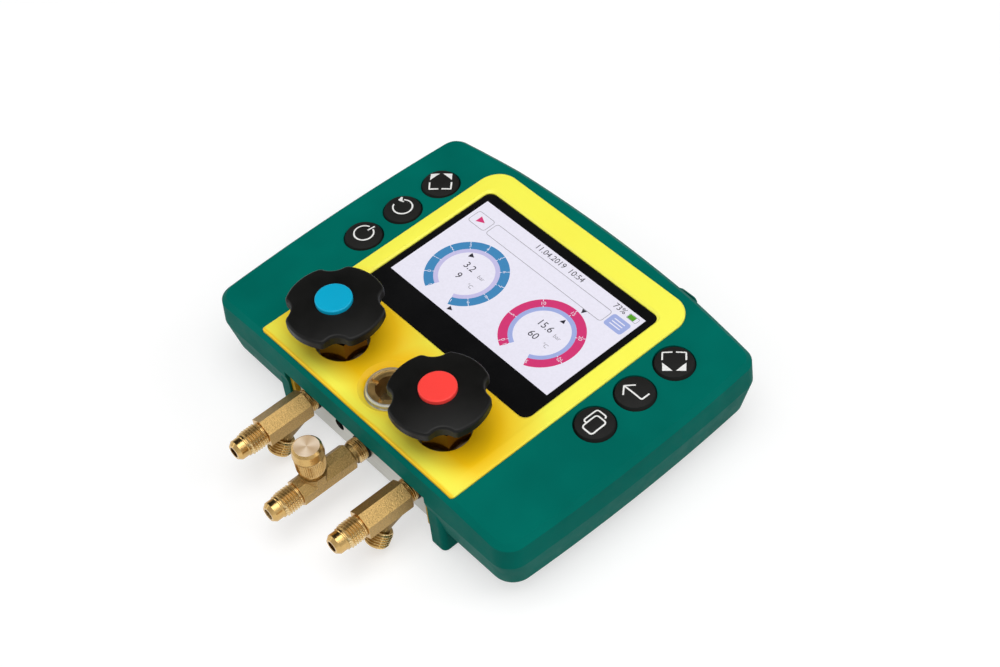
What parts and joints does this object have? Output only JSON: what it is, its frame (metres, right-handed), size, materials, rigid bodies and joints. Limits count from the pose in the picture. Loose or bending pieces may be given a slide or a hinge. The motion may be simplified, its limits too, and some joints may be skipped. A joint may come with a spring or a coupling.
{
  "type": "refrigerant manifold gauge",
  "caption": "Digital refrigerant manifold gauge with display, buttons, valve handwheels, sight glass and brass hose fittings.",
  "frame": {"origin": "on the plane that the back rests on, on the centre line, in the middle of the housing's length", "axes": "+Z out of the display's face, +Y to the top of the screen, +X from the low side to the high side; the hose ports point along -Y"},
  "size_m": [0.1966, 0.1926, 0.0714],
  "materials": {
    "green_plastic": "satin moulded",
    "yellow_plastic": "satin moulded",
    "black_plastic": "satin moulded",
    "blue_plastic": "satin moulded",
    "red_plastic": "satin moulded",
    "display_glass": "gloss",
    "clear_glass": "gloss",
    "lcd": "gloss",
    "circuit_board": "satin",
    "chip": "matt",
    "steel": "satin",
    "aluminium": "brushed",
    "brass": "turned and forged",
    "black_rubber": "matt",
    "green_rubber": "matt",
    "cell": "gloss"
  },
  "bodies": {
    "housing": {"front_frame": "green_plastic", "rear_shell": "green_plastic", "front_panel": "yellow_plastic", "block_cradle": "yellow_plastic", "display_window": "display_glass", "lcd_panel": "lcd", "main_board": "circuit_board", "board_components": "chip", "board_screws": "steel", "key_board_left": "circuit_board", "key_board_right": "circuit_board", "key_switches": "chip", "manifold_block": "aluminium", "gallery_plugs": "brass", "low_side_fitting": "brass", "high_side_fitting": "brass", "charging_fitting": "brass", "charging_core": "brass", "port_seals": "black_rubber", "sensor_seals": "black_rubber", "bonnet_washers": "aluminium", "sight_glass_body": "brass", "sight_glass_lens": "clear_glass", "sight_glass_ring": "aluminium", "battery_cells": "cell", "battery_contacts": "steel", "usb_socket": "steel", "case_screws": "steel", "block_screws": "steel", "hook_pin": "steel", "low_valve_bonnet": "brass", "low_pressure_sensor": "steel", "high_valve_bonnet": "brass", "high_pressure_sensor": "steel"},
    "low_valve_slider": {"low_piston": "brass", "low_piston_seal": "black_rubber"},
    "low_valve_wheel": {"low_stem": "steel", "low_handwheel": "black_plastic", "low_wheel_cap": "blue_plastic", "low_wheel_screw": "steel"},
    "high_valve_slider": {"high_piston": "brass", "high_piston_seal": "black_rubber"},
    "high_valve_wheel": {"high_stem": "steel", "high_handwheel": "black_plastic", "high_wheel_cap": "red_plastic", "high_wheel_screw": "steel"},
    "button_power_key": {"button_power": "black_rubber"},
    "button_refresh_key": {"button_refresh": "black_rubber"},
    "button_zoom_out_key": {"button_zoom_out": "black_rubber"},
    "button_copy_key": {"button_copy": "black_rubber"},
    "button_back_key": {"button_back": "black_rubber"},
    "button_zoom_in_key": {"button_zoom_in": "black_rubber"},
    "core_pin_slider": {"core_pin": "steel"},
    "cap_slider": {"cap_seal": "black_rubber"},
    "cap_spinner": {"charging_cap": "brass"},
    "door": {"battery_door": "green_plastic", "door_screws": "steel"},
    "hook": {"hanging_hook": "steel"},
    "service_cover": {"usb_cover": "green_rubber"}
  },
  "joints": [
    {"name": "low_valve_lift", "type": "slide", "parent": "housing", "child": "low_valve_slider", "axis": [0, 0, 1], "range_m": [0, 0.00375]},
    {"name": "low_valve_turn", "type": "hinge", "parent": "low_valve_slider", "child": "low_valve_wheel", "pos_m": [-0.033, -0.0493, 0.06], "axis": [0, 0, 1], "range_deg": [0, 900.5]},
    {"name": "high_valve_lift", "type": "slide", "parent": "housing", "child": "high_valve_slider", "axis": [0, 0, 1], "range_m": [0, 0.00375]},
    {"name": "high_valve_turn", "type": "hinge", "parent": "high_valve_slider", "child": "high_valve_wheel", "pos_m": [0.033, -0.0493, 0.06], "axis": [0, 0, 1], "range_deg": [0, 900.5]},
    {"name": "button_power_press", "type": "slide", "parent": "housing", "child": "button_power_key", "axis": [0, 0, -1], "range_m": [0, 0.001], "stiffness_N_per_m": 1500},
    {"name": "button_refresh_press", "type": "slide", "parent": "housing", "child": "button_refresh_key", "axis": [0, 0, -1], "range_m": [0, 0.001], "stiffness_N_per_m": 1500},
    {"name": "button_zoom_out_press", "type": "slide", "parent": "housing", "child": "button_zoom_out_key", "axis": [0, 0, -1], "range_m": [0, 0.001], "stiffness_N_per_m": 1500},
    {"name": "button_copy_press", "type": "slide", "parent": "housing", "child": "button_copy_key", "axis": [0, 0, -1], "range_m": [0, 0.001], "stiffness_N_per_m": 1500},
    {"name": "button_back_press", "type": "slide", "parent": "housing", "child": "button_back_key", "axis": [0, 0, -1], "range_m": [0, 0.001], "stiffness_N_per_m": 1500},
    {"name": "button_zoom_in_press", "type": "slide", "parent": "housing", "child": "button_zoom_in_key", "axis": [0, 0, -1], "range_m": [0, 0.001], "stiffness_N_per_m": 1500},
    {"name": "core_pin_press", "type": "slide", "parent": "housing", "child": "core_pin_slider", "axis": [0, 0, -1], "range_m": [0, 0.0008], "stiffness_N_per_m": 1000},
    {"name": "cap_lift", "type": "slide", "parent": "housing", "child": "cap_slider", "axis": [0, 0, 1], "range_m": [0, 0.00889]},
    {"name": "cap_turn", "type": "hinge", "parent": "cap_slider", "child": "cap_spinner", "pos_m": [0, -0.0944, 0.036], "axis": [0, 0, 1], "range_deg": [0, 2521]},
    {"name": "battery_door_lift", "type": "slide", "parent": "housing", "child": "door", "axis": [0, 0, -1], "range_m": [0, 0.012]},
    {"name": "hook_swing", "type": "hinge", "parent": "housing", "child": "hook", "pos_m": [0, 0.0496, 0.0026], "axis": [0, 0, 1], "range_deg": [0, 90]},
    {"name": "service_cover_pull", "type": "slide", "parent": "housing", "child": "service_cover", "axis": [0, 1, 0], "range_m": [0, 0.006]}
  ],
  "couplings": [
    {"joint": "low_valve_turn", "follows": "low_valve_lift", "rad_per_m": 4188.8},
    {"joint": "high_valve_turn", "follows": "high_valve_lift", "rad_per_m": 4188.8},
    {"joint": "cap_turn", "follows": "cap_lift", "rad_per_m": 4947.4}
  ]
}
